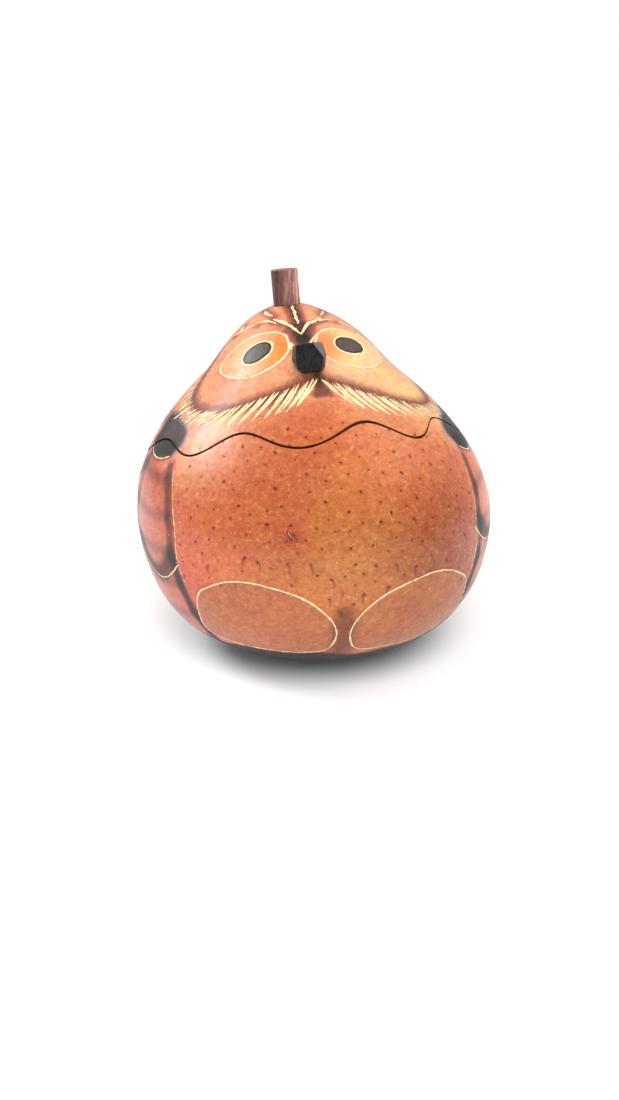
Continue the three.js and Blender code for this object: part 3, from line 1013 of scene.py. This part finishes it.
def gourd_material():
    """Dyed, burnt and engraved gourd skin under lacquer, and its bare flesh where it is cut."""
    g = Graph("carved_gourd")
    streaks = g.noise(9.0, 5.0, (1.5, 1.5, 0.9), 0.65, 0.8)
    fine_streaks = g.noise(1.7, 4.0, (1.2, 1.2, 1.0), 0.7, 0.6)
    clouds = g.noise(16.0, 3.0, (1, 1, 1), 0.55)
    grit = g.noise(0.55, 2.0)
    mottle = g.noise(1.5, 3.0, (1, 1, 1), 0.65)

    # Dyed skin, its colour holding painted sheen, painted light and painted reflection too: streaks
    # between a golden and a ruddy cast, with fine dark and pale flecks.
    dye_and_light = g.paint("dye_and_light")
    golden = g.times(dye_and_light, (1.08, 1.16, 0.95))
    ruddy = g.times(dye_and_light, (0.98, 0.84, 0.90))
    skin = g.mix(g.ramp(streaks, 0.34, 0.66), ruddy, golden)
    skin = g.mix(g.ramp(clouds, 0.35, 0.7, 0, 0.6), skin, dye_and_light)
    dark = g.times(skin, (0.76, 0.66, 0.58))
    skin = g.mix(g.ramp(fine_streaks, 0.45, 0.66, 0, 0.9), skin, dark)
    stipple = g.noise(0.7, 2.0, (1.6, 1.6, 1.0), 0.6)
    skin = g.mix(g.ramp(stipple, 0.52, 0.7, 0, 0.55), skin, dark)
    skin = g.mix(g.ramp(stipple, 0.42, 0.28, 0, 0.5), skin, g.mix(0.3, skin, "#ffcf8e"))
    pale = g.mix(0.18, skin, "#ffd9a8")
    skin = g.mix(g.ramp(fine_streaks, 0.46, 0.28, 0, 0.5), skin, pale)

    # Fine pale scratches in the lacquer, where a noise crosses its middle.
    scratch = g.math("ABSOLUTE", g.math("SUBTRACT", g.noise(5.5, 2.0, (1, 1, 1), 0.5, 1.2), 0.5))
    scuffed = g.math("MULTIPLY", g.ramp(scratch, 0.008, 0.002), g.ramp(clouds, 0.45, 0.6, 0, 0.32))
    skin = g.mix(scuffed, skin, g.mix(0.5, skin, "#ffdcae"))

    # Burnt skin, from toasted to charred.
    burn = g.field("burn")
    speckled = g.math("ADD", burn, g.ramp(mottle, 0.3, 0.7, -0.06, 0.06))
    toasted = g.times(skin, (0.52, 0.40, 0.42))
    scorched = g.mix(g.ramp(speckled, 0.0, 0.55), skin, toasted)
    charred = g.mix(g.ramp(speckled, 0.3, 1.0), scorched, "#15100f")
    flecks = g.ramp(grit, 0.6, 0.75, 0, 0.15)
    charred = g.mix(g.math("MULTIPLY", flecks, g.ramp(burn, 0.5, 0.9)), charred, "#8a7a6c")

    # Dark dots and scratches, each in a faint halo, and small chips.
    ink_gap = g.math("ADD", g.line_gap("ink"), g.ramp(grit, 0.3, 0.7, -0.05, 0.05))
    halo = g.times(charred, (0.6, 0.4, 0.36))
    haloed = g.mix(g.ramp(ink_gap, 0.5, 0.0, 0, 0.5), charred, halo)
    inked = g.mix(g.ramp(ink_gap, 0.06, -0.12, 0, 0.94), haloed, "#54180a")

    chips = g.ramp(g.noise(1.1, 2.0, (1, 1, 0.8), 0.7), 0.745, 0.765, 0, 0.7)
    chipped = g.mix(chips, inked, "#f0d2a8")

    # Cuts down to the cream layer under the skin, with ragged edges.
    ragged = g.ramp(mottle, 0.25, 0.75, -0.1, 0.1)
    wide = g.ramp(g.math("ADD", g.field("cut"), ragged), 0.07, -0.1)
    thin = g.ramp(g.math("ADD", g.line_gap("pale"), ragged), 0.1, -0.1, 0, 0.94)
    cut = g.math("MAXIMUM", wide, thin)
    cream = g.mix(g.ramp(grit, 0.35, 0.7), "#f2dfb2", "#dfbf8a")
    cream = g.mix(g.ramp(mottle, 0.55, 0.75, 0, 0.5), cream, "#c08a52")
    carved = g.mix(cut, chipped, cream)

    # Bare pith inside, and the sawn rim, stained where dye has crept in.
    fibres = g.noise(1.4, 4.0, (1, 1, 2.5), 0.7, 0.5)
    pith = g.mix(g.ramp(fibres, 0.3, 0.7), "#b98f5c", "#dcbd88")
    pith = g.mix(g.ramp(clouds, 0.45, 0.7, 0, 0.5), pith, "#9a6c42")
    stained = g.mix(g.ramp(fibres, 0.3, 0.7), "#2a1610", "#4a2a1c")
    flesh = g.math("ADD", g.field("flesh"), g.ramp(mottle, 0.3, 0.7, -0.08, 0.08))
    sawn = g.mix(g.ramp(flesh, 0.3, 0.85), stained, pith)
    colour = g.mix(g.ramp(g.field("flesh"), 0.005, 0.04), carved, sawn)

    lacquer = g.ramp(streaks, 0.3, 0.7, 0.3, 0.4)
    roughness = g.blend(g.ramp(burn, 0.3, 0.9), lacquer, 0.6)
    roughness = g.blend(cut, roughness, 0.62)
    roughness = g.blend(g.ramp(flesh, 0.05, 0.3), roughness, 0.86)

    normal = g.bump(grit, 0.02, 0.5)
    normal = g.bump(fine_streaks, 0.05, 0.5, normal)
    normal = g.bump(thin, -0.15, 0.8, normal)
    normal = g.bump(g.math("MULTIPLY", fibres, flesh), 0.35, 0.8, normal)
    return g.finish(colour, roughness, normal, Coat_Weight=0.15, Coat_Roughness=0.22,
                    Specular_IOR_Level=0.4)


def stem_material():
    g = Graph("stem_bark")
    lines = g.noise(1.1, 4.0, (1, 1, 9), 0.65, 0.4)
    patches = g.noise(4.5, 3.0, (1, 1, 2), 0.6)
    grit = g.noise(0.4, 2.0, (1, 1, 3))
    # Painted light and shade: the bark runs from the dark colours on the -X side to the lighter colours
    # on the +X side, as if lit from the right.
    sides = g.node("SeparateXYZ")
    g.put(sides.inputs[0], g.place)
    lit_from_right = g.ramp(sides.outputs[0], -0.0115, -0.0045)
    dark = g.mix(g.ramp(lines, 0.32, 0.68), "#2e1112", "#5c2e2c")
    lit_bark = g.mix(g.ramp(lines, 0.32, 0.68), "#7c443c", "#ecb6a2")
    colour = g.mix(lit_from_right, dark, lit_bark)
    colour = g.mix(g.ramp(patches, 0.4, 0.72, 0, 0.6), colour, "#5a2c28")
    colour = g.mix(g.ramp(grit, 0.6, 0.75, 0, 0.25), colour, "#c98a7c")
    end = g.field("cut_end")
    rings = g.noise(0.9, 3.0, (1, 1, 1), 0.6)
    wood = g.mix(g.ramp(rings, 0.35, 0.7), "#6b4238", "#a77b68")
    colour = g.mix(end, colour, wood)
    normal = g.bump(lines, 0.12, 0.7)
    normal = g.bump(grit, 0.03, 0.6, normal)
    return g.finish(colour, g.ramp(lines, 0.3, 0.7, 0.42, 0.6), normal)


def beak_material():
    g = Graph("blackened_wood")
    grain = g.noise(0.5, 4.0, (1, 1, 9), 0.7, 0.2)
    patches = g.noise(2.5, 3.0)
    colour = g.mix(g.ramp(grain, 0.4, 0.68), "#050505", "#232125")
    colour = g.mix(g.ramp(patches, 0.5, 0.75, 0, 0.4), colour, "#242224")
    # A lighter grey on the facets that face the right, front and up: a painted highlight.
    painted_highlight = g.mix(g.ramp(grain, 0.3, 0.7), "#48484e", "#74747a")
    colour = g.mix(g.field("painted_highlight"), colour, painted_highlight)
    normal = g.bump(grain, 0.2, 0.8)
    return g.finish(colour, g.ramp(patches, 0.3, 0.7, 0.4, 0.55), normal, Specular_IOR_Level=0.35)


# ---------------------------------------------------------------- pieces

CROWN_SWELL = 0.9  # mm that the skin rises towards the stem
CROWN_REACH = 10  # mm over which it rises
GROOVE_DEPTH = 0.26
GROOVE_REACH = 0.42  # half width over which a wide cut sinks
LINE_DEPTH = 0.14  # depth of a thin cream line
DOT_DEPTH = 0.1
SKIN_WAVES = (0.16, 14.0)  # height and size of the skin's bumps, mm
PITH_WAVES = (0.22, 3.0)  # the same for the bare inside
SKIN_INSET = 0.1  # mm by which both are drawn in, so that their bumps stay close to the CAD shape


def store_fields(mesh, canvas):
    """Writes what the strokes have left on the canvas into the mesh's attributes."""
    for name, values in (("cut", canvas.cut), ("burn", canvas.burn)):
        mesh.attributes.new(name, "FLOAT", "POINT").data.foreach_set("value", values)
    for name, values in (("pale", canvas.pale), ("ink", canvas.ink)):
        field = mesh.attributes.new(name, "FLOAT_VECTOR", "POINT")
        field.data.foreach_set("vector", values.ravel())
    colours = np.hstack([canvas.dye_and_light, np.ones((len(canvas.points), 1))])
    mesh.attributes.new("dye_and_light", "FLOAT_COLOR", "POINT").data.foreach_set("color", colours.ravel())


def paint_and_carve(piece, motifs):
    """Runs the motifs over a shell, stores their fields and sinks the cuts into its surface."""
    mesh = piece.data
    points = coordinates(mesh)
    flesh = np.empty(len(points), np.float32)
    mesh.attributes["flesh"].data.foreach_get("value", flesh)
    normals = vertex_normals(mesh)
    canvas = Canvas(points, normals)
    for motif in motifs:
        motif(canvas)
    store_fields(mesh, canvas)

    skin = 1 - np.clip(flesh, 0, 1)
    sink = GROOVE_DEPTH * (1 - smoothstep(-GROOVE_REACH, GROOVE_REACH * 0.5, canvas.cut))
    for field, depth in ((canvas.pale, LINE_DEPTH), (canvas.ink, DOT_DEPTH)):
        gap = np.hypot(field[:, 0], field[:, 1]) - field[:, 2]
        sink += depth * (1 - smoothstep(-0.2, 0.25, gap))
    swell = SKIN_WAVES[0] * noise_at(points, SKIN_WAVES[1]) - SKIN_INSET
    from_stem = np.hypot(points[:, 0] - STEM_AXIS[0], points[:, 1] - STEM_AXIS[1])
    swell += CROWN_SWELL * np.exp(-(from_stem / CROWN_REACH) ** 2) * (points[:, 2] > 90)
    rough = flesh * PITH_WAVES[0] * noise_at(points, PITH_WAVES[1], 3, 4.0)
    resting = smoothstep(0.0, 1.5, points[:, 2])
    moved = (skin * (swell * resting - sink) + rough - SKIN_INSET * flesh) * resting
    set_coordinates(mesh, points + normals * moved[:, None])
    shade_smooth(mesh)


# The wings, shoulders and dots run over the saw cut, so both shells take the same strokes.
BODY_MOTIFS = (underside, wings, shoulders, feet, scar, dots)
HEAD_MOTIFS = (wings, shoulders, dots, collar, chin, brows, forehead, frown, nape, eyes)


def gourd_box(material):
    piece = new_object("gourd_box", loft("gourd_box", *box_sections()))
    paint_and_carve(piece, BODY_MOTIFS)
    piece.data.materials.append(material)
    return piece


def stem_frame():
    """Foot of the stem at the height of the crown, its axis, and its rise above the foot."""
    axis = Vector((-math.sin(STEM_LEAN), 0, math.cos(STEM_LEAN)))
    foot = Vector((*STEM_AXIS, SECTION[-1, 1]))
    return foot, axis, (STEM_TOP - foot.z) / axis.z


def beak_frame(rise):
    """Foot of the beak on the shell, and the directions up and out of a plane that looks up by rise."""
    foot = Vector(surface(0.0, BEAK_HEIGHT))
    out = Vector((0, -math.cos(rise), math.sin(rise)))
    return foot, Vector((0, math.sin(rise), math.cos(rise))), out


def peg(foot, axis, start, end, radius, sides):
    """A plain cylinder as an object, to cut a hole with."""
    mesh = bpy.data.meshes.new("peg")
    made = bmesh.new()
    turn = axis.to_track_quat("Z", "Y").to_matrix().to_4x4()
    place = Matrix.Translation((foot + axis * (start + end) / 2) * MM) @ turn
    bmesh.ops.create_cone(made, cap_ends=True, segments=sides, radius1=radius * MM,
                          radius2=radius * MM, depth=(end - start) * MM, matrix=place)
    made.to_mesh(mesh)
    made.free()
    return new_object("peg", mesh)


def gourd_lid(material):
    piece = new_object("gourd_head", loft("gourd_head", *lid_sections()))
    foot, axis, _ = stem_frame()
    cutters = [peg(foot, axis, -3 * WALL, 3 * WALL, STEM_RADIUS + 0.12, 64)]
    beak_foot, _, out = beak_frame(BEAK_RISE)
    cutters.append(peg(beak_foot, out, -3 * WALL, 3 * WALL, BEAK_TENON_RADIUS + 0.12, 48))
    for cutter in cutters:
        hole = piece.modifiers.new("hole", "BOOLEAN")
        hole.operation = "DIFFERENCE"
        hole.solver = "EXACT"
        hole.object = cutter
    apply_modifiers(piece)
    for cutter in cutters:
        bpy.data.objects.remove(cutter)
    paint_and_carve(piece, HEAD_MOTIFS)
    piece.data.materials.append(material)
    return piece


def stem():
    """The gourd's dry stalk: ridged bark, a sawn end with a worn edge, and a foot inside the lid."""
    foot, axis, rise = stem_frame()
    across = Vector((0, 1, 0))
    side = across.cross(axis)
    bottom = -WALL - STEM_REACH
    angles = np.linspace(0, 2 * math.pi, STEM_COLUMNS, endpoint=False)
    profile = [(0.35, bottom), (0.7, bottom), (0.93, bottom), (0.985, bottom + 0.15)]
    profile += [(1.0, bottom + 0.5 + (rise - 1.1 - bottom) * k / STEM_ROWS)
                for k in range(STEM_ROWS + 1)]
    profile += [(0.985, rise - 0.32), (0.94, rise - 0.1), (0.86, rise - 0.03), (0.6, rise - 0.05),
                (0.3, rise - 0.09)]
    ridges = 0.6 * np.array([
        0.05 * math.cos(5 * a + 0.6) + 0.018 * math.cos(11 * a + 2.0) + 0.006 * math.cos(23 * a)
        for a in angles
    ])
    rings = []
    for share, height in profile:
        waist = 1 - 0.012 * math.sin(math.pi * min(max((height + 1) / (rise + 1), 0), 1))
        radius = STEM_RADIUS * share * waist * (1 - 0.045 + ridges * min(share * 1.05, 1))
        centre = foot + axis * height
        rings.append(np.array([
            centre + side * (r * math.cos(a)) + across * (r * math.sin(a))
            for r, a in zip(radius, angles)
        ]))
    ends = [np.array(foot + axis * bottom), np.array(foot + axis * (rise - 0.1))]
    mesh = loft("stem_stalk", ends[0], [(r, 0) for r in rings], ends[1])
    points = coordinates(mesh)
    height = (points - np.array(foot)) @ np.array(axis)
    end_face = (height > rise - 0.14).astype(np.float32)
    mesh.attributes.new("cut_end", "FLOAT", "POINT").data.foreach_set("value", end_face)
    grain = noise_at(points * (1, 1, 0.16), 0.9)
    set_coordinates(mesh, points + vertex_normals(mesh) * (0.05 * grain - 0.05)[:, None])
    shade_smooth(mesh)
    piece = new_object("stem_stalk", mesh)
    piece.data.materials.append(stem_material())
    return piece


HIGHLIGHT_WAY = Vector((0.75, -0.35, 0.56)).normalized()  # where the facet with the painted highlight looks: right, to the front and up


def beak():
    """The whittled wedge and its tenon, as one skin with softened edges and open grain."""
    foot, up, out = beak_frame(BEAK_RISE)
    made = bmesh.new()
    for corners, rise, distance in ((BEAK_FRONT, BEAK_FACE_RISE, BEAK_LENGTH),
                                    (BEAK_REAR, BEAK_RISE, BEAK_BACK)):
        _, face_up, face_out = beak_frame(rise)
        for x, y in corners:
            made.verts.new((foot + Vector((x, 0, 0)) + face_up * y + face_out * distance) * MM)
    bmesh.ops.convex_hull(made, input=made.verts)
    mesh = bpy.data.meshes.new("beak_block")
    made.to_mesh(mesh)
    made.free()
    piece = new_object("beak_block", mesh)
    tenon = peg(foot, out, -BEAK_TENON_LENGTH, BEAK_BACK + 1, BEAK_TENON_RADIUS, 32)
    joined = piece.modifiers.new("tenon", "BOOLEAN")
    joined.operation = "UNION"
    joined.solver = "EXACT"
    joined.object = tenon
    fine = piece.modifiers.new("fine", "REMESH")
    fine.mode = "VOXEL"
    fine.voxel_size = BEAK_VOXEL * MM
    soft = piece.modifiers.new("soft", "SMOOTH")
    soft.iterations = 4
    apply_modifiers(piece)
    bpy.data.objects.remove(tenon)
    mesh = piece.data
    points = coordinates(mesh)
    local = points - np.array(foot)
    sideways, along, depth = local[:, 0], local @ np.array(up), local @ np.array(out)
    grain = noise_at(np.stack([sideways, along * 0.09, depth * 0.5], 1), 0.55)
    waves = noise_at(local, 4.0, 2, 9.0)
    normals = vertex_normals(mesh)
    # Facets that face that way, to the right, front and up, get a lighter grey: a painted highlight.
    painted_highlight = smoothstep(0.78, 0.93, normals @ np.array(HIGHLIGHT_WAY)) * (depth > 0)
    mesh.attributes.new("painted_highlight", "FLOAT", "POINT").data.foreach_set("value", painted_highlight)
    set_coordinates(mesh, points + normals * (0.07 * grain + 0.12 * waves - 0.1)[:, None])
    shade_smooth(mesh)
    mesh.materials.clear()
    mesh.materials.append(beak_material())
    return piece


# ---------------------------------------------------------------- studio

ROOM_LIGHT = 0.55  # brightness of the white room as the object sees it, where the camera sees 1
FLOOR_HALF = 6.0  # m
MIDDLE = Vector((0, 0, 0.07))  # where the windows look, m
# Windows: name, direction from the middle, distance, size in m and power in W.
WINDOWS = [
    ("left_window", (-0.73, 0.2, 0.65), 0.75, 0.3, 3.3),
    ("right_window", (0.62, -0.09, 0.78), 0.75, 0.45, 1.2),
    ("front_window", (-0.2, -1.0, 0.35), 1.0, 0.8, 1.0),
]
SKY_LIGHT = 2.1
SKY_ANGLE = 42  # degrees, how wide the sky's light is
SKY_TILT = (38, 6)
CAMERA_PLACE = Vector((-36.5, -284.0, 132.1)) * MM
CAMERA_RISE = 70  # degrees from straight down
CAMERA_TURN = -7
CAMERA_LENS = 30.44  # mm, on a picture 36 mm high


def white_room():
    world = bpy.data.worlds.new("white_room")
    world.use_nodes = True
    tree = world.node_tree
    room = tree.nodes["Background"]
    room.inputs["Color"].default_value = (1, 1, 1, 1)
    ray = tree.nodes.new("ShaderNodeLightPath")
    seen = tree.nodes.new("ShaderNodeMapRange")
    seen.inputs["To Min"].default_value = ROOM_LIGHT
    seen.inputs["To Max"].default_value = 1.0
    tree.links.new(ray.outputs["Is Camera Ray"], seen.inputs["Value"])
    tree.links.new(seen.outputs[0], room.inputs["Strength"])
    return world


def white_table():
    half = FLOOR_HALF
    mesh = bpy.data.meshes.new("floor")
    mesh.from_pydata([(-half, -half, 0), (half, -half, 0), (half, half, 0), (-half, half, 0)],
                     [], [(0, 1, 2, 3)])
    white = bpy.data.materials.new("white_table")
    white.use_nodes = True
    shader = white.node_tree.nodes["Principled BSDF"]
    shader.inputs["Base Color"].default_value = (0.95, 0.95, 0.95, 1)
    shader.inputs["Roughness"].default_value = 0.6
    shader.inputs["Specular IOR Level"].default_value = 0
    mesh.materials.append(white)
    return new_object("floor", mesh)


def lamps():
    """Two windows and a wide sky, and a third window in front that only fills the shadows."""
    for name, direction, distance, size, power in WINDOWS:
        data = bpy.data.lights.new(name, "AREA")
        data.size = size
        data.energy = power
        lamp = new_object(name, data)
        lamp.location = MIDDLE + Vector(direction) * distance
        lamp.rotation_euler = (-Vector(direction)).to_track_quat("-Z", "Y").to_euler()
        lamp.visible_glossy = name != "front_window"
    data = bpy.data.lights.new("sky", "SUN")
    data.energy = SKY_LIGHT
    data.angle = math.radians(SKY_ANGLE)
    sky = new_object("sky", data)
    sky.rotation_euler = (math.radians(SKY_TILT[0]), math.radians(SKY_TILT[1]), 0)
    sky.visible_glossy = False


def camera():
    data = bpy.data.cameras.new("camera")
    data.sensor_width = 36
    data.lens = CAMERA_LENS
    data.clip_start = 0.01
    made = new_object("camera", data)
    made.location = CAMERA_PLACE
    made.rotation_euler = (math.radians(CAMERA_RISE), 0, math.radians(CAMERA_TURN))
    return made


def studio():
    """White sweep, soft light from above and a camera a little above the owl's eyes."""
    scene = bpy.context.scene
    scene.view_settings.view_transform = "Standard"
    scene.world = white_room()
    white_table()
    lamps()
    scene.camera = camera()


# ---------------------------------------------------------------- assembly

def fasten(piece, body, node):
    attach(piece, body)
    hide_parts(node)


skin = gourd_material()
fasten(gourd_box(skin), "bowl", "gourd_base")
fasten(gourd_lid(skin), "lid", "gourd_lid")
fasten(stem(), "lid", "stem")
fasten(beak(), "lid", "beak")
studio()
